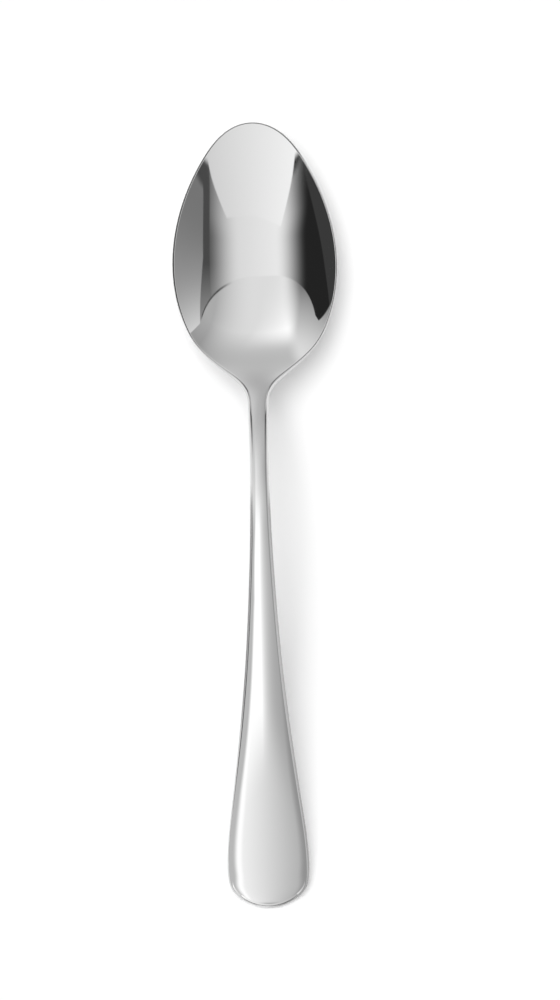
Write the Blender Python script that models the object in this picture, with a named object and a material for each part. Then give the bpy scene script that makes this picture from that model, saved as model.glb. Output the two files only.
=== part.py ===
"""Dessert spoon pressed from one blank of steel, in metres, lying on its belly with the bowl open upwards."""

import bpy
import numpy as np

# Outline from above, distances measured from the bowl tip
OVERALL_LENGTH = 0.184
BOWL_WIDTH = 0.0387
BOWL_WIDEST_AT = 0.034
BOWL_TIP_RADIUS = 0.0098
STEM_START = 0.067
STEM_WIDTH = 0.0044
STEM_NARROWEST_AT = 0.078
HANDLE_WIDTH = 0.019
HANDLE_END_RADIUS = 0.0096
HANDLE_END_LENGTH = 0.016

# Shape of the outline between those sizes, as (share of the way along, share of the way out)
BOWL_FRONT = ((0.176, 0.523), (0.441, 0.79), (1.0, 1.0))
BOWL_HEEL = ((0.364, 0.876), (0.576, 0.654), (0.727, 0.348), (0.848, 0.094), (1.0, 0.012))
HANDLE_FLARE = ((0.321, 0.149), (0.679, 0.649))
HANDLE_END = ((0.0, 0.963), (0.594, 0.979), (0.8125, 0.727))

# Side view: height of the edges, halfway through the steel
TIP_HEIGHT = 0.0108
FRONT_RIM_AT = 0.011
FRONT_RIM_HEIGHT = 0.0093
RIM_HEIGHT = 0.0092
HEEL_AT = 0.054
HEEL_HEIGHT = 0.0112
NECK_AT = 0.066
NECK_HEIGHT = 0.0168
CREST_AT = 0.096
CREST_HEIGHT = 0.0222
HANDLE_MIDDLE_AT = 0.15
HANDLE_MIDDLE_HEIGHT = 0.0116
HANDLE_END_HEIGHT = 0.0012

# The hollow of the bowl, and where it gives way to the solid stem
BOWL_DEPTH = 0.0083
HOLLOW_FADES_AT = 0.06
HOLLOW_GONE_AT = 0.074

# Thickness of the steel in its middle and at its edge, and how far the round of the edge reaches
BOWL_THICKNESS = 0.0014
RIM_THICKNESS = 0.0007
RIM_REACH = 0.00015
NECK_START = 0.05
NECK_END = 0.074
STEM_THICKNESS = 0.0036
STEM_EDGE_THICKNESS = 0.0034
STEM_REACH = 0.0009
HANDLE_START = 0.09
HANDLE_THICKNESS = 0.0028
HANDLE_EDGE_THICKNESS = 0.0015
HANDLE_REACH = 0.0008

# The worn flats that the spoon rests on
REST_FLAT_DEPTH = 0.00005

# Polished stainless steel
STEEL_COLOUR = (0.64, 0.64, 0.63, 1)
STEEL_ROUGHNESS = 0.1

# Fineness of the mesh
COLUMNS = 20
BODY_ROWS = 64
TIP_ROWS = 8
END_ROWS = 6
EDGE_STEPS = 4
TIP_ZONE = 0.012
END_ZONE = 0.008
OUTLINE_SAMPLES = 4000
SLOPE_STEP = 0.00001
STEEPEST_ROUND = 0.45
SEAT_ROUNDS = 4


def smooth_curve(points):
    """A function through (distance, value) points, with no jump in its bend and none at its ends."""
    at, value = np.array(points, dtype=float).T
    gap = np.diff(at)
    slope = np.diff(value) / gap
    matrix = np.eye(len(at))
    right = np.zeros(len(at))
    for i in range(1, len(at) - 1):
        matrix[i, i - 1 : i + 2] = gap[i - 1], 2 * (gap[i - 1] + gap[i]), gap[i]
        right[i] = 6 * (slope[i] - slope[i - 1])
    bend = np.linalg.solve(matrix, right)

    def curve(s):
        i = np.clip(np.searchsorted(at, s) - 1, 0, len(gap) - 1)
        after, before = s - at[i], at[i + 1] - s
        straight = (value[i] * before + value[i + 1] * after) / gap[i]
        start = bend[i] * (before**3 / gap[i] - gap[i] * before) / 6
        end = bend[i + 1] * (after**3 / gap[i] - gap[i] * after) / 6
        return straight + start + end

    return curve


def between(low, high, share):
    return low + (high - low) * share


def smooth_step(s, start, end):
    """0 before the start, 1 after the end, and no jump in its bend."""
    t = np.clip((s - start) / (end - start), 0, 1)
    return t**3 * (10 - 15 * t + 6 * t**2)


def end_rounding(s):
    """Square of the factor that closes both ends of the outline to a round."""
    return 4 * s * (OVERALL_LENGTH - s) / OVERALL_LENGTH**2


def outline_stations():
    bowl, stem, handle = BOWL_WIDTH / 2, STEM_WIDTH / 2, HANDLE_WIDTH / 2
    stations = [(BOWL_WIDEST_AT * along, bowl * out) for along, out in BOWL_FRONT]
    for along, out in BOWL_HEEL:
        stations.append((between(BOWL_WIDEST_AT, STEM_START, along), between(stem, bowl, out)))
    stations.append((STEM_NARROWEST_AT, stem))
    for along, out in HANDLE_FLARE:
        at = between(STEM_NARROWEST_AT, OVERALL_LENGTH, along)
        stations.append((at, between(stem, handle, out)))
    for along, out in HANDLE_END:
        at = between(OVERALL_LENGTH - HANDLE_END_LENGTH, OVERALL_LENGTH, along)
        stations.append((at, between(stem, handle, out)))
    return stations


FULLNESS = smooth_curve(
    [(0, np.sqrt(BOWL_TIP_RADIUS * OVERALL_LENGTH / 2))]
    + [(s, width / np.sqrt(end_rounding(s))) for s, width in outline_stations()]
    + [(OVERALL_LENGTH, np.sqrt(HANDLE_END_RADIUS * OVERALL_LENGTH / 2))]
)
EDGE_HEIGHT = smooth_curve([
    (0, TIP_HEIGHT),
    (FRONT_RIM_AT, FRONT_RIM_HEIGHT),
    (BOWL_WIDEST_AT, RIM_HEIGHT),
    (HEEL_AT, HEEL_HEIGHT),
    (NECK_AT, NECK_HEIGHT),
    (CREST_AT, CREST_HEIGHT),
    (HANDLE_MIDDLE_AT, HANDLE_MIDDLE_HEIGHT),
    (OVERALL_LENGTH, HANDLE_END_HEIGHT),
])


def in_stages(s, bowl, stem, handle):
    """Goes smoothly from the bowl's value to the stem's, and then to the handle's."""
    neck = between(bowl, stem, smooth_step(s, NECK_START, NECK_END))
    return between(neck, handle, smooth_step(s, HANDLE_START, OVERALL_LENGTH))


def middle_thickness(s):
    return in_stages(s, BOWL_THICKNESS, STEM_THICKNESS, HANDLE_THICKNESS)


def edge_thickness(s):
    return in_stages(s, RIM_THICKNESS, STEM_EDGE_THICKNESS, HANDLE_EDGE_THICKNESS)


def edge_reach(s):
    return in_stages(s, RIM_REACH, STEM_REACH, HANDLE_REACH)


def half_width_squared(s):
    return end_rounding(s) * FULLNESS(s) ** 2


def sag(across_squared, bend):
    """Rise of a round hollow of this bend, at this distance squared from its middle."""
    return bend * across_squared / (1 + np.sqrt(1 - bend**2 * across_squared))


def middle_height(s, across, nearness):
    """Height of the surface halfway through the steel: hollow in the bowl, crowned in the handle."""
    half = BOWL_WIDTH / 2
    bend = 2 * BOWL_DEPTH / (half**2 + BOWL_DEPTH**2)
    hollow = sag(across**2, bend) - sag(half_width_squared(s), bend)
    crown = (middle_thickness(s) - edge_thickness(s)) / 2 * (1 - nearness)
    solid = smooth_step(s, HOLLOW_FADES_AT, HOLLOW_GONE_AT)
    return EDGE_HEIGHT(s) + between(hollow, crown, solid)


def thickness_direction(s, across, nearness):
    """Square to the surface in the bowl, upright in the handle."""
    before, after = s - SLOPE_STEP, s + SLOPE_STEP
    left, right = across - SLOPE_STEP, across + SLOPE_STEP
    along_slope = middle_height(after, across, nearness) - middle_height(before, across, nearness)
    across_slope = middle_height(s, right, nearness) - middle_height(s, left, nearness)
    lean = 1 - smooth_step(s, HOLLOW_FADES_AT, HOLLOW_GONE_AT)
    direction = np.stack(
        [-across_slope * lean, along_slope * lean, np.full_like(s, 2 * SLOPE_STEP)], axis=-1
    )
    return direction / np.linalg.norm(direction, axis=-1, keepdims=True)


def sheet_outline():
    """The outline drawn in by the round of the edge, as (distance, half width) samples."""
    turn = np.linspace(0, np.pi, OUTLINE_SAMPLES)
    s = OVERALL_LENGTH * (1 - np.cos(turn)) / 2
    width = np.sqrt(np.maximum(half_width_squared(s), 0))
    upward = thickness_direction(s, width, np.ones_like(s))
    lean = np.hypot(upward[:, 0], upward[:, 1])
    reach = np.hypot(edge_thickness(s) / 2 * lean, edge_reach(s) * upward[:, 2])
    along, out = np.gradient(s), np.gradient(width)
    inset = reach / np.hypot(along, out)
    s_in, width_in = s + inset * out, width - inset * along
    width_in[[0, -1]] = 0
    return s_in, width_in


def round_zone(across, towards_end):
    """A square grid bent to fill half an ellipse: shares of its length and width, nearness to its edge."""
    length = towards_end * np.sqrt(1 - across**2 / 2)
    width = across * np.sqrt(1 - towards_end**2 / 2)
    share = width / np.sqrt(np.maximum(1 - length**2, SLOPE_STEP))
    return length, share, length**2 + width**2


def sheet_grid():
    """Distance, offset and nearness to the edge of each point: rows from tip to end, columns across."""
    s_edge, width_edge = sheet_outline()
    first, last = s_edge[0], s_edge[-1]
    across = np.sin(np.linspace(-np.pi / 2, np.pi / 2, COLUMNS + 1))
    rows = []
    for towards_tip in np.cos(np.linspace(0, np.pi / 2, TIP_ROWS, endpoint=False)):
        length, share, nearness = round_zone(across, towards_tip)
        rows.append((first + TIP_ZONE * (1 - length), share, nearness))
    for s in np.linspace(first + TIP_ZONE, last - END_ZONE, BODY_ROWS + 1):
        rows.append((np.full_like(across, s), across, across**2))
    for towards_end in np.sin(np.linspace(0, np.pi / 2, END_ROWS + 1))[1:]:
        length, share, nearness = round_zone(across, towards_end)
        rows.append((last - END_ZONE * (1 - length), share, nearness))
    s, share, nearness = np.array(rows).transpose(1, 0, 2)
    return s, share * np.interp(s, s_edge, width_edge), nearness


def edge_loop(rows, columns):
    """Row and column of each point round the sheet, in order."""
    right = [(row, columns - 1) for row in range(rows - 1)]
    end = [(rows - 1, column) for column in range(columns - 1, 0, -1)]
    left = [(row, 0) for row in range(rows - 1, 0, -1)]
    tip = [(0, column) for column in range(columns - 1)]
    return np.array(right + end + left + tip).T


def seat(points):
    """Tilts the spoon until its belly and its handle end both reach the table."""
    from_tip = OVERALL_LENGTH / 2 - points[:, 1]
    bowl = np.flatnonzero(from_tip < STEM_START)
    handle = np.flatnonzero(from_tip > CREST_AT)
    for _ in range(SEAT_ROUNDS):
        front = bowl[np.argmin(points[bowl, 2])]
        back = handle[np.argmin(points[handle, 2])]
        tilt = (points[back, 2] - points[front, 2]) / (from_tip[back] - from_tip[front])
        points[:, 2] -= points[front, 2] + tilt * (from_tip - from_tip[front])


def edge_round(turn, drop):
    """Shares of the reach and of the half thickness, at a turn from 0 on top to 1 below.

    The round starts with the slope that the top has there.
    """
    start = drop / (1 - drop)
    if turn < 0.5:
        angle = between(np.arcsin(start), np.pi / 2, 2 * turn)
        return (np.sin(angle) - start) / (1 - start), np.cos(angle) / np.sqrt(1 - start**2)
    return np.full_like(start, np.sin(np.pi * turn)), np.full_like(start, np.cos(np.pi * turn))


def spoon_mesh():
    s, x, nearness = sheet_grid()
    middle = np.stack([x, OVERALL_LENGTH / 2 - s, middle_height(s, x, nearness)], axis=-1)
    upward = thickness_direction(s, x, nearness)
    thickness = between(middle_thickness(s), edge_thickness(s), nearness)[..., None]
    top = middle + upward * thickness / 2
    bottom = middle - upward * thickness / 2

    rows, columns = s.shape
    loop = tuple(edge_loop(rows, columns))
    inner = np.clip(loop[0], 1, rows - 2), np.clip(loop[1], 1, columns - 2)
    run = np.roll(middle[loop], -1, axis=0) - np.roll(middle[loop], 1, axis=0)
    outward = np.cross(upward[loop], run)
    outward /= np.linalg.norm(outward, axis=1, keepdims=True)
    half, reach = thickness[loop] / 2, edge_reach(s[loop])[:, None]
    last_step = top[loop] - top[inner]
    fall = -np.sum(last_step * upward[loop], axis=1, keepdims=True)
    slope = fall / np.sum(last_step * outward, axis=1, keepdims=True)
    drop = np.clip(slope * reach / half, -STEEPEST_ROUND, STEEPEST_ROUND)
    turns = np.linspace(0, 1, EDGE_STEPS + 1)[1:-1]
    lips = []
    for turn in turns:
        out, up = edge_round(turn, drop)
        lips.append(middle[loop] + outward * reach * out + upward[loop] * half * up)
    points = np.concatenate([top.reshape(-1, 3), bottom.reshape(-1, 3)] + lips)

    top_index = np.arange(rows * columns).reshape(rows, columns)
    bottom_index = top_index + rows * columns
    lip_start = 2 * rows * columns
    rings = [top_index[loop]]
    for step in range(len(turns)):
        rings.append(lip_start + step * len(loop[0]) + np.arange(len(loop[0])))
    rings.append(bottom_index[loop])
    faces = []
    for row in range(rows - 1):
        for column in range(columns - 1):
            corners = ((row, column), (row + 1, column), (row + 1, column + 1), (row, column + 1))
            faces.append([int(top_index[corner]) for corner in corners])
            faces.append([int(bottom_index[corner]) for corner in reversed(corners)])
    for upper, lower in zip(rings, rings[1:]):
        for i in range(len(upper)):
            after = (i + 1) % len(upper)
            faces.append([int(upper[i]), int(upper[after]), int(lower[after]), int(lower[i])])
    return points, faces


def polished_steel():
    material = bpy.data.materials.new("polished_steel")
    material.use_nodes = True
    shader = material.node_tree.nodes["Principled BSDF"]
    shader.inputs["Base Color"].default_value = STEEL_COLOUR
    shader.inputs["Metallic"].default_value = 1.0
    shader.inputs["Roughness"].default_value = STEEL_ROUGHNESS
    return material


def new_collection(name):
    collection = bpy.data.collections.new(name)
    bpy.context.scene.collection.children.link(collection)
    return collection


def table_cutter():
    """A block below table height, which grinds the rest flats."""
    bpy.ops.mesh.primitive_cube_add(size=1, location=(0, 0, -BOWL_DEPTH / 2))
    cutter = bpy.context.object
    cutter.name = "table_cutter"
    cutter.scale = (2 * BOWL_WIDTH, 2 * OVERALL_LENGTH, BOWL_DEPTH)
    cutter.display_type = "WIRE"
    cutter.hide_render = True
    for owner in list(cutter.users_collection):
        owner.objects.unlink(cutter)
    new_collection("cutters").objects.link(cutter)
    return cutter


def main():
    for old in list(bpy.data.objects):
        bpy.data.objects.remove(old)

    points, faces = spoon_mesh()
    seat(points)
    points[:, 2] -= REST_FLAT_DEPTH
    mesh = bpy.data.meshes.new("spoon")
    mesh.from_pydata(points.tolist(), [], faces)
    mesh.shade_smooth()
    mesh.materials.append(polished_steel())
    spoon = bpy.data.objects.new("spoon", mesh)
    new_collection("dessert_spoon").objects.link(spoon)

    flats = spoon.modifiers.new("rest_flats", "BOOLEAN")
    flats.operation = "DIFFERENCE"
    flats.solver = "EXACT"
    flats.object = table_cutter()


main()
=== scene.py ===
"""Polished dessert spoon lying on a white table, lit by soft studio light and seen from straight above."""

import math

import bpy
import numpy as np
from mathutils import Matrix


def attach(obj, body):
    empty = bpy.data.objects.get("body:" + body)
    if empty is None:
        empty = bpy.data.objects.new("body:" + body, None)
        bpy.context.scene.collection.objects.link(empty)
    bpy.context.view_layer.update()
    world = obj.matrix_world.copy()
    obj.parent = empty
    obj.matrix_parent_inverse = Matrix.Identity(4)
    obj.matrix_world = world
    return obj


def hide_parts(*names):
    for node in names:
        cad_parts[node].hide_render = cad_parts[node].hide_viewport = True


# Outline from above, distances measured from the bowl tip
OVERALL_LENGTH = 0.184
BOWL_WIDTH = 0.0387
BOWL_WIDEST_AT = 0.034
BOWL_TIP_RADIUS = 0.0098
STEM_START = 0.067
STEM_WIDTH = 0.0044
STEM_NARROWEST_AT = 0.078
HANDLE_WIDTH = 0.019
HANDLE_END_RADIUS = 0.0096
HANDLE_END_LENGTH = 0.016

# Shape of the outline between those sizes, as (share of the way along, share of the way out)
BOWL_FRONT = ((0.176, 0.523), (0.441, 0.79), (1.0, 1.0))
BOWL_HEEL = ((0.364, 0.876), (0.576, 0.654), (0.727, 0.348), (0.848, 0.094), (1.0, 0.012))
HANDLE_FLARE = ((0.321, 0.149), (0.679, 0.649))
HANDLE_END = ((0.0, 0.963), (0.594, 0.979), (0.8125, 0.727))

# Side view: height of the edges, halfway through the steel
TIP_HEIGHT = 0.0108
FRONT_RIM_AT = 0.011
FRONT_RIM_HEIGHT = 0.0093
RIM_HEIGHT = 0.0092
HEEL_AT = 0.054
HEEL_HEIGHT = 0.0112
NECK_AT = 0.066
NECK_HEIGHT = 0.0168
CREST_AT = 0.096
CREST_HEIGHT = 0.0222
HANDLE_MIDDLE_AT = 0.15
HANDLE_MIDDLE_HEIGHT = 0.0116
HANDLE_END_HEIGHT = 0.0012

# The hollow of the bowl, and where it gives way to the solid stem
BOWL_DEPTH = 0.0083
HOLLOW_FADES_AT = 0.06
HOLLOW_GONE_AT = 0.074

# Thickness of the steel in its middle and at its edge, and how far the round of the edge reaches
BOWL_THICKNESS = 0.0014
RIM_THICKNESS = 0.0007
RIM_REACH = 0.00015
NECK_START = 0.05
NECK_END = 0.074
STEM_THICKNESS = 0.0036
STEM_EDGE_THICKNESS = 0.0034
STEM_REACH = 0.0009
HANDLE_START = 0.09
HANDLE_THICKNESS = 0.0028
HANDLE_EDGE_THICKNESS = 0.0015
HANDLE_REACH = 0.0008

# Fineness of the mesh
COLUMNS = 64
BODY_ROWS = 260
TIP_ROWS = 24
END_ROWS = 16
EDGE_STEPS = 10
TIP_ZONE = 0.012
END_ZONE = 0.008
OUTLINE_SAMPLES = 4000
SLOPE_STEP = 0.00001
STEEPEST_ROUND = 0.45
SEAT_ROUNDS = 4

# The steel: its grey, and the roughness between the best and the least polished spots
STEEL_GREY = 0.68
POLISH = (0.03, 0.055)
POLISH_SCALE = 160.0
POLISH_SPREAD = (0.35, 0.65)

# Painted shade on the neck and the edge, a darker grey standing in for the dim reflections there: its
# grey, its roughness, and where it fades in or out
PAINTED_SHADE_GREY = 0.2
DULL_ROUGHNESS = 0.3
# Painted shade on the neck faces, standing in for their dim reflection
NECK_PAINTED_SHADE = 0.52
NECK_SHADE_START = (0.057, 0.063)
NECK_SHADE_END = (0.067, 0.085)
# Painted shade on the edge: a dark line standing in for the dark reflection at the rim, stronger on the
# left side than the right
EDGE_SHADE_TURNS = (0.1, 0.3)
BOWL_LEFT_SHADE_END = (0.038, 0.05)
BOWL_RIGHT_SHADE_END = (0.006, 0.011)
HANDLE_SHADE_START = (0.083, 0.092)
HANDLE_LEFT_SHADE_END = (0.13, 0.152)
RIGHT_SIDE = (-0.002, 0.004)
HANDLE_RIGHT_PAINTED_SHADE = 0.72

# The photograph's frame, and where the two ends of the spoon are in it
IMAGE_WIDTH = 560
IMAGE_HEIGHT = 1000
TIP_PIXEL = (251.9, 123.7)
END_PIXEL = (269.4, 907.3)
CAMERA_HEIGHT = 3.0
SENSOR_HEIGHT = 36.0

# The table, the white around it and the light
FLOOR_SIZE = 3.0
FLOOR_COLOUR = (0.95, 0.95, 0.95, 1)
FLOOR_ROUGHNESS = 0.9
FLOOR_GLOW = 0.4
BACKGROUND_COLOUR = (1, 1, 1, 1)
BACKGROUND_LIGHT = 1.0
AMBIENT_LIGHT = 0.2
KEY_LIGHT = 3.0
KEY_ANGLE = math.radians(36)
KEY_TURN = (math.radians(-15), math.radians(-12), 0)

# The studio that the steel mirrors, in angles from straight up and shares of a unit direction
CRISP = 0.02
PANEL_LIGHT = 1.085
PANEL_TINT = 0.26
PANEL_FLARE = (-0.2, -0.42)
PANEL_FLARE_RATIO = 0.91
PANEL_END = (-0.594, -0.562)
PANEL_LEFT = (math.radians(-54), math.radians(-20))
PANEL_LEFT_POWER = 1.3
PANEL_RIGHT = (math.radians(48), math.radians(14))
PANEL_RIGHT_POWER = 0.85
PANEL_RIGHT_LEAN = (math.radians(46.2), math.radians(45.4))
LEFT_DARK = (0.024, 0.06)
LEFT_DARK_SLANT = (0.426, 0.116)
LEFT_DARK_LIFT = -0.177
RIGHT_DARK = (0.12, 0.095)
RIGHT_DARK_TINT = 0.5
RIGHT_STRIP_LEAN = math.radians(44.5)
RIGHT_CARD_TOP = 0.78
RIGHT_CARD_END = (-0.52, -0.48)
RIGHT_CARD_SLANT = (0.76, -0.3)
RIGHT_CARD_LIGHT = 0.375
RIGHT_CARD_TINT = (0.53, 0.6)
FRONT_TOP = 0.48
FRONT_TOP_TILT = 0.2
FRONT_LEFT_SLANT = (1.44, -0.345)
FRONT_LEFT_SHOULDER = (0.3, 0.735)
FRONT_RIGHT_SLANT = (1.06, -0.07)
FRONT_RIGHT_SHOULDER = (0.3, 0.71)
FRONT_LIGHT = 1.11
FRONT_TINT = -0.33
BACK_TOP = 0.13
BACK_FLAT = 0.15
BACK_BEND = 0.355
BACK_BEND_LEAST_HEIGHT = 0.36
BACK_LEFT_FOOT = (0.68, -0.072)
BACK_LIGHT = (0.67, 1.04)
BACK_LIGHT_HEIGHTS = (0.0, 0.5)
BACK_RIGHT_FALL = 1.2
BACK_RIGHT_MOST_FALL = 0.43
BACK_LEFT_LIGHT = 1.12
BACK_GAP = 0.03
BACK_GAP_LIGHT = 0.1
BACK_GAP_SPREAD = (0.35, 0.6)
BACK_GAP_HEIGHTS = (0.38, 0.46)
LAMP_SLANT = 0.38
LAMP_SPREAD = (0.25, -0.2)
LAMP_EDGE = -0.29
LAMP_EDGE_SOFTNESS = (0.08, 0.2)
LAMP_EDGE_HEIGHTS = (0.4, 0.8)
LAMP_TOP = (1.0, 0.5)
LAMP_BOTTOM = (0.1, 0.5)
LAMP_LIGHT = 0.42

# The white paper arch over the handle, as (distance along Y, radius), and the light along it
ARCH_HEIGHT = 0.012
ARCH_RADII = ((-1.4, 0.3), (-0.3, 0.12), (-0.05, 0.1), (0.0, 0.06), (0.04, 0.03))
ARCH_COLUMNS = 49
ARCH_MOUTH = (0.02, 0.039)
ARCH_MOUTH_SPREAD = (math.radians(-30), math.radians(30))
ARCH_MOUTH_LIGHT = (1.2, 0.92)
ARCH_MOUTH_SIDES = (math.radians(38), math.radians(52))
ARCH_MOUTH_SIDE_LIGHT = 0.12
ARCH_STEM = (-0.008, 0.014)
ARCH_STEM_SPREAD = (math.radians(-30), math.radians(30))
ARCH_STEM_LIGHT = (1.5, 0.62)
ARCH_STEM_DIM = (0.004, 0.02)
ARCH_STEM_DIM_LIGHT = 0.86
ARCH_MIDDLE = (-0.1, -0.14)
ARCH_LEFT_EDGE = (math.radians(-21.5), math.radians(-37.5))
ARCH_LEFT_EDGE_RUN = (-0.045, -0.125)
ARCH_LEFT_SOFTNESS = math.radians(3)
ARCH_LEFT_LIGHT = (0.7, 1.05)
ARCH_BRIGHTEST = 1.5
ARCH_FALL_LIGHT = (0.5, 0.67)
ARCH_FALL_REACH = math.radians(14)
ARCH_BACK_SPREAD = (math.radians(-32), math.radians(40))
ARCH_BACK_LIGHT = (1.28, 0.62)
ARCH_RIDGE = (math.radians(9), math.radians(4))
ARCH_RIDGE_LIGHT = 0.2
ARCH_RIGHT_EDGE = (math.radians(34), math.radians(42))
ARCH_LOW_RIGHT = (math.radians(57), math.radians(66))
ARCH_LOW_RIGHT_LIGHT = (0.42, 0.78)
ARCH_LOW_LEFT = (math.radians(-66), math.radians(-74))
ARCH_LOW_LEFT_RUN = (-0.1, -0.08)
ARCH_LOW_LEFT_LIGHT = 0.12
ARCH_END = (-0.4, -0.48)
ARCH_END_LIGHT = 0.35


def smooth_curve(points):
    """A function through (distance, value) points, with no jump in its bend and none at its ends."""
    at, value = np.array(points, dtype=float).T
    gap = np.diff(at)
    slope = np.diff(value) / gap
    matrix = np.eye(len(at))
    right = np.zeros(len(at))
    for i in range(1, len(at) - 1):
        matrix[i, i - 1 : i + 2] = gap[i - 1], 2 * (gap[i - 1] + gap[i]), gap[i]
        right[i] = 6 * (slope[i] - slope[i - 1])
    bend = np.linalg.solve(matrix, right)

    def curve(s):
        i = np.clip(np.searchsorted(at, s) - 1, 0, len(gap) - 1)
        after, before = s - at[i], at[i + 1] - s
        straight = (value[i] * before + value[i + 1] * after) / gap[i]
        start = bend[i] * (before**3 / gap[i] - gap[i] * before) / 6
        end = bend[i + 1] * (after**3 / gap[i] - gap[i] * after) / 6
        return straight + start + end

    return curve


def between(low, high, share):
    return low + (high - low) * share


def smooth_step(s, start, end):
    """0 before the start, 1 after the end, and no jump in its bend."""
    t = np.clip((s - start) / (end - start), 0, 1)
    return t**3 * (10 - 15 * t + 6 * t**2)


def end_rounding(s):
    """Square of the factor that closes both ends of the outline to a round."""
    return 4 * s * (OVERALL_LENGTH - s) / OVERALL_LENGTH**2


def outline_stations():
    bowl, stem, handle = BOWL_WIDTH / 2, STEM_WIDTH / 2, HANDLE_WIDTH / 2
    stations = [(BOWL_WIDEST_AT * along, bowl * out) for along, out in BOWL_FRONT]
    for along, out in BOWL_HEEL:
        stations.append((between(BOWL_WIDEST_AT, STEM_START, along), between(stem, bowl, out)))
    stations.append((STEM_NARROWEST_AT, stem))
    for along, out in HANDLE_FLARE:
        at = between(STEM_NARROWEST_AT, OVERALL_LENGTH, along)
        stations.append((at, between(stem, handle, out)))
    for along, out in HANDLE_END:
        at = between(OVERALL_LENGTH - HANDLE_END_LENGTH, OVERALL_LENGTH, along)
        stations.append((at, between(stem, handle, out)))
    return stations


FULLNESS = smooth_curve(
    [(0, np.sqrt(BOWL_TIP_RADIUS * OVERALL_LENGTH / 2))]
    + [(s, width / np.sqrt(end_rounding(s))) for s, width in outline_stations()]
    + [(OVERALL_LENGTH, np.sqrt(HANDLE_END_RADIUS * OVERALL_LENGTH / 2))]
)
EDGE_HEIGHT = smooth_curve([
    (0, TIP_HEIGHT),
    (FRONT_RIM_AT, FRONT_RIM_HEIGHT),
    (BOWL_WIDEST_AT, RIM_HEIGHT),
    (HEEL_AT, HEEL_HEIGHT),
    (NECK_AT, NECK_HEIGHT),
    (CREST_AT, CREST_HEIGHT),
    (HANDLE_MIDDLE_AT, HANDLE_MIDDLE_HEIGHT),
    (OVERALL_LENGTH, HANDLE_END_HEIGHT),
])


def in_stages(s, bowl, stem, handle):
    """Goes smoothly from the bowl's value to the stem's, and then to the handle's."""
    neck = between(bowl, stem, smooth_step(s, NECK_START, NECK_END))
    return between(neck, handle, smooth_step(s, HANDLE_START, OVERALL_LENGTH))


def middle_thickness(s):
    return in_stages(s, BOWL_THICKNESS, STEM_THICKNESS, HANDLE_THICKNESS)


def edge_thickness(s):
    return in_stages(s, RIM_THICKNESS, STEM_EDGE_THICKNESS, HANDLE_EDGE_THICKNESS)


def edge_reach(s):
    return in_stages(s, RIM_REACH, STEM_REACH, HANDLE_REACH)


def half_width_squared(s):
    return end_rounding(s) * FULLNESS(s) ** 2


def sag(across_squared, bend):
    """Rise of a round hollow of this bend, at this distance squared from its middle."""
    return bend * across_squared / (1 + np.sqrt(1 - bend**2 * across_squared))


def middle_height(s, across, nearness):
    """Height of the surface halfway through the steel: hollow in the bowl, crowned in the handle."""
    half = BOWL_WIDTH / 2
    bend = 2 * BOWL_DEPTH / (half**2 + BOWL_DEPTH**2)
    hollow = sag(across**2, bend) - sag(half_width_squared(s), bend)
    crown = (middle_thickness(s) - edge_thickness(s)) / 2 * (1 - nearness)
    solid = smooth_step(s, HOLLOW_FADES_AT, HOLLOW_GONE_AT)
    return EDGE_HEIGHT(s) + between(hollow, crown, solid)


def thickness_direction(s, across, nearness):
    """Square to the surface in the bowl, upright in the handle."""
    before, after = s - SLOPE_STEP, s + SLOPE_STEP
    left, right = across - SLOPE_STEP, across + SLOPE_STEP
    along_slope = middle_height(after, across, nearness) - middle_height(before, across, nearness)
    across_slope = middle_height(s, right, nearness) - middle_height(s, left, nearness)
    lean = 1 - smooth_step(s, HOLLOW_FADES_AT, HOLLOW_GONE_AT)
    direction = np.stack(
        [-across_slope * lean, along_slope * lean, np.full_like(s, 2 * SLOPE_STEP)], axis=-1
    )
    return direction / np.linalg.norm(direction, axis=-1, keepdims=True)


def sheet_outline():
    """The outline drawn in by the round of the edge, as (distance, half width) samples."""
    turn = np.linspace(0, np.pi, OUTLINE_SAMPLES)
    s = OVERALL_LENGTH * (1 - np.cos(turn)) / 2
    width = np.sqrt(np.maximum(half_width_squared(s), 0))
    upward = thickness_direction(s, width, np.ones_like(s))
    lean = np.hypot(upward[:, 0], upward[:, 1])
    reach = np.hypot(edge_thickness(s) / 2 * lean, edge_reach(s) * upward[:, 2])
    along, out = np.gradient(s), np.gradient(width)
    inset = reach / np.hypot(along, out)
    s_in, width_in = s + inset * out, width - inset * along
    width_in[[0, -1]] = 0
    return s_in, width_in


def round_zone(across, towards_end):
    """A square grid bent to fill half an ellipse: shares of its length and width, nearness to its edge."""
    length = towards_end * np.sqrt(1 - across**2 / 2)
    width = across * np.sqrt(1 - towards_end**2 / 2)
    share = width / np.sqrt(np.maximum(1 - length**2, SLOPE_STEP))
    return length, share, length**2 + width**2


def sheet_grid():
    """Distance, offset and nearness to the edge of each point: rows from tip to end, columns across."""
    s_edge, width_edge = sheet_outline()
    first, last = s_edge[0], s_edge[-1]
    across = np.sin(np.linspace(-np.pi / 2, np.pi / 2, COLUMNS + 1))
    rows = []
    for towards_tip in np.cos(np.linspace(0, np.pi / 2, TIP_ROWS, endpoint=False)):
        length, share, nearness = round_zone(across, towards_tip)
        rows.append((first + TIP_ZONE * (1 - length), share, nearness))
    for s in np.linspace(first + TIP_ZONE, last - END_ZONE, BODY_ROWS + 1):
        rows.append((np.full_like(across, s), across, across**2))
    for towards_end in np.sin(np.linspace(0, np.pi / 2, END_ROWS + 1))[1:]:
        length, share, nearness = round_zone(across, towards_end)
        rows.append((last - END_ZONE * (1 - length), share, nearness))
    s, share, nearness = np.array(rows).transpose(1, 0, 2)
    return s, share * np.interp(s, s_edge, width_edge), nearness


def edge_loop(rows, columns):
    """Row and column of each point round the sheet, in order."""
    right = [(row, columns - 1) for row in range(rows - 1)]
    end = [(rows - 1, column) for column in range(columns - 1, 0, -1)]
    left = [(row, 0) for row in range(rows - 1, 0, -1)]
    tip = [(0, column) for column in range(columns - 1)]
    return np.array(right + end + left + tip).T


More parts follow.
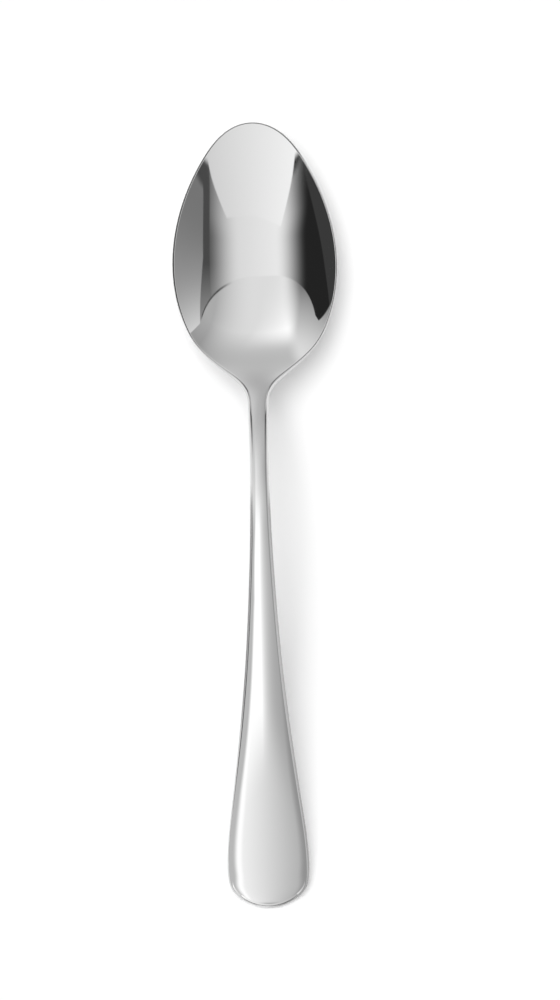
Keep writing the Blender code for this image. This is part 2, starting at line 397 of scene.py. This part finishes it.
def seat(points):
    """Tilts the spoon until its belly and its handle end both reach the table."""
    from_tip = OVERALL_LENGTH / 2 - points[:, 1]
    bowl = np.flatnonzero(from_tip < STEM_START)
    handle = np.flatnonzero(from_tip > CREST_AT)
    for _ in range(SEAT_ROUNDS):
        front = bowl[np.argmin(points[bowl, 2])]
        back = handle[np.argmin(points[handle, 2])]
        tilt = (points[back, 2] - points[front, 2]) / (from_tip[back] - from_tip[front])
        points[:, 2] -= points[front, 2] + tilt * (from_tip - from_tip[front])


def edge_round(turn, drop):
    """Shares of the reach and of the half thickness, at a turn from 0 on top to 1 below.

    The round starts with the slope that the top has there.
    """
    start = drop / (1 - drop)
    if turn < 0.5:
        angle = between(np.arcsin(start), np.pi / 2, 2 * turn)
        return (np.sin(angle) - start) / (1 - start), np.cos(angle) / np.sqrt(1 - start**2)
    return np.full_like(start, np.sin(np.pi * turn)), np.full_like(start, np.cos(np.pi * turn))


def neck_painted_shade(s):
    """Share of the painted shade on both faces, which is only at the neck: a darker grey standing in for
    the dim reflection there.
    """
    return NECK_PAINTED_SHADE * (smooth_step(s, *NECK_SHADE_START) - smooth_step(s, *NECK_SHADE_END))


def edge_painted_shade(s, across, turn):
    """Share of the painted shade on the edge, a dark line standing in for a dark reflection: at the tip,
    on the left of the bowl and along the handle.
    """
    right = smooth_step(across, *RIGHT_SIDE)
    bowl_left = 1 - smooth_step(s, *BOWL_LEFT_SHADE_END)
    bowl_right = 1 - smooth_step(s, *BOWL_RIGHT_SHADE_END)
    bowl = between(bowl_left, bowl_right, right)
    handle_left = 1 - smooth_step(s, *HANDLE_LEFT_SHADE_END)
    handle = between(handle_left, HANDLE_RIGHT_PAINTED_SHADE, right) * smooth_step(s, *HANDLE_SHADE_START)
    return (bowl + handle) * smooth_step(min(turn, 1 - turn), *EDGE_SHADE_TURNS)


def spoon_mesh():
    """Points, faces and share of painted shade of the skin: two sheets, and the round of the edge between
    them.
    """
    s, x, nearness = sheet_grid()
    middle = np.stack([x, OVERALL_LENGTH / 2 - s, middle_height(s, x, nearness)], axis=-1)
    upward = thickness_direction(s, x, nearness)
    thickness = between(middle_thickness(s), edge_thickness(s), nearness)[..., None]
    top = middle + upward * thickness / 2
    bottom = middle - upward * thickness / 2

    rows, columns = s.shape
    loop = tuple(edge_loop(rows, columns))
    inner = np.clip(loop[0], 1, rows - 2), np.clip(loop[1], 1, columns - 2)
    run = np.roll(middle[loop], -1, axis=0) - np.roll(middle[loop], 1, axis=0)
    outward = np.cross(upward[loop], run)
    outward /= np.linalg.norm(outward, axis=1, keepdims=True)
    half, reach = thickness[loop] / 2, edge_reach(s[loop])[:, None]
    last_step = top[loop] - top[inner]
    fall = -np.sum(last_step * upward[loop], axis=1, keepdims=True)
    slope = fall / np.sum(last_step * outward, axis=1, keepdims=True)
    drop = np.clip(slope * reach / half, -STEEPEST_ROUND, STEEPEST_ROUND)
    turns = np.linspace(0, 1, EDGE_STEPS + 1)[1:-1]
    lips = []
    # Share of painted shade for each point: on the neck faces, then on each ring of the edge
    painted_shade_and_roughness = [neck_painted_shade(s).ravel()] * 2
    for turn in turns:
        out, up = edge_round(turn, drop)
        lips.append(middle[loop] + outward * reach * out + upward[loop] * half * up)
        painted_shade_and_roughness.append(edge_painted_shade(s[loop], x[loop], turn))
    points = np.concatenate([top.reshape(-1, 3), bottom.reshape(-1, 3)] + lips)

    top_index = np.arange(rows * columns).reshape(rows, columns)
    bottom_index = top_index + rows * columns
    lip_start = 2 * rows * columns
    rings = [top_index[loop]]
    for step in range(len(turns)):
        rings.append(lip_start + step * len(loop[0]) + np.arange(len(loop[0])))
    rings.append(bottom_index[loop])
    faces = []
    for row in range(rows - 1):
        for column in range(columns - 1):
            corners = ((row, column), (row + 1, column), (row + 1, column + 1), (row, column + 1))
            faces.append([int(top_index[corner]) for corner in corners])
            faces.append([int(bottom_index[corner]) for corner in reversed(corners)])
    for upper, lower in zip(rings, rings[1:]):
        for i in range(len(upper)):
            after = (i + 1) % len(upper)
            faces.append([int(upper[i]), int(upper[after]), int(lower[after]), int(lower[i])])
    return points, faces, np.concatenate(painted_shade_and_roughness)


def feed(tree, socket, value):
    """Sets a socket to a number, or links it to another node's output."""
    if isinstance(value, bpy.types.NodeSocket):
        tree.links.new(value, socket)
    else:
        socket.default_value = value


def math_node(tree, operation, *values):
    node = tree.nodes.new("ShaderNodeMath")
    node.operation = operation
    for socket, value in zip(node.inputs, values):
        feed(tree, socket, value)
    return node.outputs[0]


def product(tree, *values):
    result = values[0]
    for value in values[1:]:
        result = math_node(tree, "MULTIPLY", result, value)
    return result


def fade(tree, value, start, end, low=0.0, high=1.0, kind="SMOOTHSTEP"):
    """Goes from low to high as the value goes from start to end."""
    node = tree.nodes.new("ShaderNodeMapRange")
    node.interpolation_type = kind
    for name, given in (("From Min", start), ("From Max", end), ("To Min", low), ("To Max", high)):
        feed(tree, node.inputs[name], given)
    feed(tree, node.inputs["Value"], value)
    return node.outputs["Result"]


def blend(tree, share, low, high):
    """Goes from low to high as the share goes from 0 to 1."""
    step = math_node(tree, "SUBTRACT", high, low)
    return math_node(tree, "MULTIPLY_ADD", share, step, low)


def split(tree, vector):
    parts = tree.nodes.new("ShaderNodeSeparateXYZ")
    tree.links.new(vector, parts.inputs[0])
    return parts.outputs


def polished_steel():
    """Bright stainless steel whose polish varies a little, with painted shade at the edge and the neck: a
    darker grey and a rougher finish that stand in for the dim reflections there.
    """
    material = bpy.data.materials.new("polished_steel")
    material.use_nodes = True
    tree = material.node_tree
    shader = tree.nodes["Principled BSDF"]
    attribute = tree.nodes.new("ShaderNodeAttribute")
    attribute.attribute_name = "painted_shade_and_roughness"
    painted_shade_and_roughness = attribute.outputs["Fac"]
    # The base colour darkens to a painted shade grey at the neck and the edge, standing in for dim
    # reflections
    feed(tree, shader.inputs["Base Color"], blend(tree, painted_shade_and_roughness, STEEL_GREY, PAINTED_SHADE_GREY))
    shader.inputs["Metallic"].default_value = 1.0
    polish = tree.nodes.new("ShaderNodeTexNoise")
    polish.inputs["Scale"].default_value = POLISH_SCALE
    tree.links.new(tree.nodes.new("ShaderNodeTexCoord").outputs["Object"], polish.inputs["Vector"])
    roughness = fade(tree, polish.outputs[0], *POLISH_SPREAD, *POLISH)
    feed(tree, shader.inputs["Roughness"], blend(tree, painted_shade_and_roughness, roughness, DULL_ROUGHNESS))
    return material


def spoon():
    points, faces, painted_shade_and_roughness = spoon_mesh()
    seat(points)
    mesh = bpy.data.meshes.new("spoon_skin")
    mesh.from_pydata(points.tolist(), [], faces)
    mesh.shade_smooth()
    # Stores the share of painted shade, which darkens the base colour and raises the roughness
    mesh.attributes.new("painted_shade_and_roughness", "FLOAT", "POINT").data.foreach_set("value", painted_shade_and_roughness)
    mesh.materials.append(polished_steel())
    piece = bpy.data.objects.new("spoon_skin", mesh)
    bpy.context.scene.collection.objects.link(piece)
    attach(piece, "root")
    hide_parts("spoon")


def table():
    bpy.ops.mesh.primitive_plane_add(size=FLOOR_SIZE)
    floor = bpy.context.object
    floor.name = "table"
    material = bpy.data.materials.new("white_table")
    material.use_nodes = True
    tree = material.node_tree
    shader = tree.nodes["Principled BSDF"]
    shader.inputs["Base Color"].default_value = FLOOR_COLOUR
    shader.inputs["Roughness"].default_value = FLOOR_ROUGHNESS
    rays = tree.nodes.new("ShaderNodeLightPath").outputs
    seen = math_node(tree, "MAXIMUM", rays["Is Camera Ray"], rays["Is Glossy Ray"])
    seen = math_node(tree, "MAXIMUM", seen, rays["Is Transmission Ray"])
    mix = tree.nodes.new("ShaderNodeMixShader")
    feed(tree, mix.inputs["Fac"], product(tree, seen, FLOOR_GLOW))
    tree.links.new(shader.outputs[0], mix.inputs[1])
    tree.links.new(tree.nodes.new("ShaderNodeEmission").outputs[0], mix.inputs[2])
    tree.links.new(mix.outputs[0], tree.nodes["Material Output"].inputs["Surface"])
    floor.data.materials.append(material)


def front_side(tree, x, z, slant, shoulder):
    """Top of one side of the wall beyond the handle: a slant that ends at a shoulder."""
    aside = math_node(tree, "ABSOLUTE", x)
    slant_top = math_node(tree, "MULTIPLY_ADD", aside, slant[0], product(tree, z, slant[1]))
    shoulder_top = math_node(tree, "MULTIPLY_ADD", aside, shoulder[0], product(tree, z, shoulder[1]))
    return math_node(tree, "MINIMUM", slant_top, shoulder_top)


def front_wall(tree, x, y, z):
    """1 in the directions of the white wall beyond the handle, with a tilted top and slanted sides."""
    left = front_side(tree, x, z, FRONT_LEFT_SLANT, FRONT_LEFT_SHOULDER)
    right = front_side(tree, x, z, FRONT_RIGHT_SLANT, FRONT_RIGHT_SHOULDER)
    side = blend(tree, fade(tree, x, -CRISP, CRISP), left, right)
    tilt = product(tree, math_node(tree, "MINIMUM", x, 0), FRONT_TOP_TILT)
    limit = math_node(tree, "MAXIMUM", math_node(tree, "MULTIPLY_ADD", z, FRONT_TOP, tilt), side)
    return fade(tree, math_node(tree, "ADD", y, limit), 0, -CRISP)


def back_wall(tree, x, y, z):
    """1 in the directions of the arched wall beyond the bowl, and its light, with a lamp on its left."""
    flat = product(tree, z, BACK_FLAT)
    aside = math_node(tree, "ABSOLUTE", math_node(tree, "ADD", x, flat))
    aside = math_node(tree, "MAXIMUM", math_node(tree, "SUBTRACT", aside, flat), 0)
    rise = product(tree, aside, aside, BACK_BEND)
    rise = math_node(tree, "DIVIDE", rise, math_node(tree, "MAXIMUM", z, BACK_BEND_LEAST_HEIGHT))
    inside = math_node(tree, "SUBTRACT", y, math_node(tree, "MULTIPLY_ADD", z, BACK_TOP, rise))

    foot = math_node(tree, "SUBTRACT", math_node(tree, "MULTIPLY_ADD", y, *BACK_LEFT_FOOT), z)
    foot = blend(tree, fade(tree, x, -CRISP, CRISP), foot, inside)
    inside = math_node(tree, "MAXIMUM", inside, foot)

    right = math_node(tree, "MAXIMUM", x, 0)
    light = fade(tree, z, *BACK_LIGHT_HEIGHTS, *BACK_LIGHT, kind="LINEAR")
    fall = math_node(tree, "MINIMUM", product(tree, right, right, BACK_RIGHT_FALL), BACK_RIGHT_MOST_FALL)
    light = product(tree, light, math_node(tree, "SUBTRACT", 1, fall))
    lamp_place = math_node(tree, "MULTIPLY_ADD", z, LAMP_SLANT, x)
    lamp = product(tree, fade(tree, z, *LAMP_TOP, kind="LINEAR"), fade(tree, z, *LAMP_BOTTOM), LAMP_LIGHT)
    lamp = product(tree, lamp, fade(tree, lamp_place, *LAMP_SPREAD, kind="LINEAR"))
    light = math_node(tree, "ADD", light, lamp)
    softness = fade(tree, z, *LAMP_EDGE_HEIGHTS, *LAMP_EDGE_SOFTNESS)
    past_lamp = math_node(tree, "DIVIDE", math_node(tree, "SUBTRACT", LAMP_EDGE, lamp_place), softness)
    light = blend(tree, fade(tree, past_lamp, -1, 1), light, product(tree, y, BACK_LEFT_LIGHT))
    gap = product(tree, fade(tree, inside, BACK_GAP + CRISP, BACK_GAP), fade(tree, x, *BACK_GAP_SPREAD))
    gap = product(tree, gap, fade(tree, z, *BACK_GAP_HEIGHTS))
    return fade(tree, inside, 0, CRISP), blend(tree, gap, light, BACK_GAP_LIGHT)


def side_openings(tree, x, y, z, lean):
    """Light of the dark openings on both sides, with the grey card low on the right."""
    low = math_node(tree, "MULTIPLY_ADD", y, LEFT_DARK_SLANT[0], z)
    low = math_node(tree, "MULTIPLY_ADD", x, LEFT_DARK_SLANT[1], low)
    low = math_node(tree, "ADD", low, LEFT_DARK_LIFT)
    left = fade(tree, low, CRISP, 0, *LEFT_DARK)
    right = fade(tree, lean, RIGHT_STRIP_LEAN, RIGHT_STRIP_LEAN + CRISP, *RIGHT_DARK)
    right = math_node(tree, "MULTIPLY_ADD", math_node(tree, "MAXIMUM", y, 0), RIGHT_DARK_TINT, right)
    slant = math_node(tree, "MULTIPLY_ADD", y, RIGHT_CARD_SLANT[1], product(tree, x, RIGHT_CARD_SLANT[0]))
    card_top = math_node(tree, "MINIMUM", product(tree, x, RIGHT_CARD_TOP), slant)
    card = fade(tree, math_node(tree, "SUBTRACT", card_top, z), 0, CRISP)
    card = product(tree, card, fade(tree, y, *RIGHT_CARD_END))
    card_light = math_node(tree, "MULTIPLY_ADD", y, RIGHT_CARD_TINT[1], RIGHT_CARD_TINT[0])
    card_light = math_node(tree, "MULTIPLY_ADD", y, card_light, RIGHT_CARD_LIGHT)
    return blend(tree, fade(tree, x, -CRISP, CRISP), left, blend(tree, card, right, card_light))


def overhead_panel(tree, y, lean, sides):
    """Light of the long panel overhead, and of what is on both sides of it."""
    light = math_node(tree, "MULTIPLY_ADD", lean, -PANEL_TINT, PANEL_LIGHT)
    inside = product(tree, fade(tree, lean, *PANEL_RIGHT_LEAN), fade(tree, y, *PANEL_END))
    lean = product(tree, lean, fade(tree, y, *PANEL_FLARE, 1, PANEL_FLARE_RATIO))
    left_edge = math_node(tree, "POWER", fade(tree, lean, *PANEL_LEFT), PANEL_LEFT_POWER)
    right_edge = math_node(tree, "POWER", fade(tree, lean, *PANEL_RIGHT), PANEL_RIGHT_POWER)
    return blend(tree, product(tree, inside, left_edge, right_edge), sides, light)


def studio_seen(tree):
    """Brightness of the studio in each direction, as polished steel mirrors it."""
    x, y, z = split(tree, tree.nodes.new("ShaderNodeTexCoord").outputs["Generated"])
    lean = math_node(tree, "ARCTAN2", x, z)
    seen = overhead_panel(tree, y, lean, side_openings(tree, x, y, z, lean))
    front_light = math_node(tree, "MULTIPLY_ADD", x, FRONT_TINT, FRONT_LIGHT)
    seen = blend(tree, front_wall(tree, x, y, z), seen, front_light)
    back, back_light = back_wall(tree, x, y, z)
    return blend(tree, back, seen, back_light)


def studio_light():
    world = bpy.data.worlds.new("studio")
    bpy.context.scene.world = world
    world.use_nodes = True
    tree = world.node_tree
    rays = tree.nodes.new("ShaderNodeLightPath").outputs
    seen = math_node(tree, "MAXIMUM", rays["Is Camera Ray"], rays["Is Transmission Ray"])
    strength = blend(tree, seen, AMBIENT_LIGHT, BACKGROUND_LIGHT)
    strength = blend(tree, rays["Is Glossy Ray"], strength, studio_seen(tree))
    background = tree.nodes["Background"]
    background.inputs["Color"].default_value = BACKGROUND_COLOUR
    feed(tree, background.inputs["Strength"], strength)

    data = bpy.data.lights.new("key_light", "SUN")
    data.energy = KEY_LIGHT
    data.angle = KEY_ANGLE
    key = bpy.data.objects.new("key_light", data)
    key.rotation_euler = KEY_TURN
    key.visible_glossy = False
    bpy.context.scene.collection.objects.link(key)


def arch_light(tree):
    """Light of the paper: a bright band over the stem and the handle, with dimmer paper beside it."""
    x, y, z = split(tree, tree.nodes.new("ShaderNodeNewGeometry").outputs["Position"])
    lean = math_node(tree, "ARCTAN2", x, math_node(tree, "SUBTRACT", z, ARCH_HEIGHT))
    edge = fade(tree, y, *ARCH_LEFT_EDGE_RUN, *ARCH_LEFT_EDGE, kind="LINEAR")
    past_edge = math_node(tree, "SUBTRACT", lean, edge)

    fall = math_node(tree, "EXPONENT", product(tree, lean, -1 / ARCH_FALL_REACH))
    front = math_node(tree, "MULTIPLY_ADD", fall, ARCH_FALL_LIGHT[1], ARCH_FALL_LIGHT[0])
    front = math_node(tree, "MINIMUM", front, ARCH_BRIGHTEST)
    back = fade(tree, lean, *ARCH_BACK_SPREAD, *ARCH_BACK_LIGHT, kind="LINEAR")
    back = math_node(tree, "ADD", back, fade(tree, past_edge, *ARCH_RIDGE, 0, ARCH_RIDGE_LIGHT))
    stem = fade(tree, lean, *ARCH_STEM_SPREAD, *ARCH_STEM_LIGHT, kind="LINEAR")
    over_stem = fade(tree, y, *ARCH_STEM)
    band = blend(tree, fade(tree, y, *ARCH_MIDDLE), front, back)
    band = blend(tree, over_stem, band, stem)

    low_right = fade(tree, lean, *ARCH_LOW_RIGHT, *ARCH_LOW_RIGHT_LIGHT)
    band = blend(tree, fade(tree, lean, *ARCH_RIGHT_EDGE), band, low_right)
    low_left = product(tree, fade(tree, lean, *ARCH_LOW_LEFT), fade(tree, y, *ARCH_LOW_LEFT_RUN))
    low_left = product(tree, low_left, math_node(tree, "SUBTRACT", 1, over_stem))
    left = blend(tree, low_left, blend(tree, over_stem, *ARCH_LEFT_LIGHT), ARCH_LOW_LEFT_LIGHT)
    inside = fade(tree, past_edge, -ARCH_LEFT_SOFTNESS, ARCH_LEFT_SOFTNESS)
    band = blend(tree, inside, left, band)

    stem_dim = fade(tree, y, *ARCH_STEM_DIM, 1, ARCH_STEM_DIM_LIGHT)
    band = product(tree, band, stem_dim, fade(tree, y, *ARCH_END, 1, ARCH_END_LIGHT))
    mouth = fade(tree, lean, *ARCH_MOUTH_SPREAD, *ARCH_MOUTH_LIGHT, kind="LINEAR")
    sides = fade(tree, math_node(tree, "ABSOLUTE", lean), *ARCH_MOUTH_SIDES)
    mouth = blend(tree, sides, mouth, ARCH_MOUTH_SIDE_LIGHT)
    return blend(tree, fade(tree, y, *ARCH_MOUTH), band, mouth)


def paper_arch():
    """A half pipe of white paper over the handle, which only the polished steel sees."""
    turns = np.linspace(-np.pi / 2, np.pi / 2, ARCH_COLUMNS)
    points = []
    for along, radius in ARCH_RADII:
        for turn in turns:
            points.append((radius * np.sin(turn), along, ARCH_HEIGHT + radius * np.cos(turn)))
    faces = []
    for row in range(len(ARCH_RADII) - 1):
        for column in range(ARCH_COLUMNS - 1):
            corner = row * ARCH_COLUMNS + column
            faces.append((corner, corner + 1, corner + 1 + ARCH_COLUMNS, corner + ARCH_COLUMNS))
    mesh = bpy.data.meshes.new("paper_arch")
    mesh.from_pydata(points, [], faces)
    material = bpy.data.materials.new("paper_arch")
    material.use_nodes = True
    tree = material.node_tree
    tree.nodes.clear()
    glow = tree.nodes.new("ShaderNodeEmission")
    feed(tree, glow.inputs["Strength"], arch_light(tree))
    output = tree.nodes.new("ShaderNodeOutputMaterial")
    tree.links.new(glow.outputs[0], output.inputs["Surface"])
    mesh.materials.append(material)
    arch = bpy.data.objects.new("paper_arch", mesh)
    arch.visible_camera = False
    arch.visible_diffuse = False
    arch.visible_shadow = False
    bpy.context.scene.collection.objects.link(arch)


def camera():
    """Straight above the table, turned and placed so that both ends of the spoon meet their pixels."""
    across = END_PIXEL[0] - TIP_PIXEL[0]
    down = END_PIXEL[1] - TIP_PIXEL[1]
    pixel = OVERALL_LENGTH / math.hypot(across, down)
    roll = -math.atan2(across, down)
    right = IMAGE_WIDTH / 2 - (TIP_PIXEL[0] + END_PIXEL[0]) / 2
    up = (TIP_PIXEL[1] + END_PIXEL[1]) / 2 - IMAGE_HEIGHT / 2
    data = bpy.data.cameras.new("camera")
    data.sensor_fit = "VERTICAL"
    data.sensor_height = SENSOR_HEIGHT
    data.lens = SENSOR_HEIGHT * CAMERA_HEIGHT / (IMAGE_HEIGHT * pixel)
    eye = bpy.data.objects.new("camera", data)
    eye.rotation_euler = (0, 0, roll)
    eye.location = (
        pixel * (right * math.cos(roll) - up * math.sin(roll)),
        pixel * (right * math.sin(roll) + up * math.cos(roll)),
        CAMERA_HEIGHT,
    )
    bpy.context.scene.collection.objects.link(eye)
    bpy.context.scene.camera = eye


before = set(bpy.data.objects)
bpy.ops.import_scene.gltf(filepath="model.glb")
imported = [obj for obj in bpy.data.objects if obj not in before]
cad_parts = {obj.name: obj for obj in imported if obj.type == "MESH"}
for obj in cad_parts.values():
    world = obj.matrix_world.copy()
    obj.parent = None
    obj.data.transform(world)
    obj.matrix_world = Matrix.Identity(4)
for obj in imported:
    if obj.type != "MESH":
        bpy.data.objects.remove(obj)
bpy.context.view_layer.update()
spoon()
table()
studio_light()
paper_arch()
camera()
bpy.context.scene.view_settings.view_transform = "Standard"
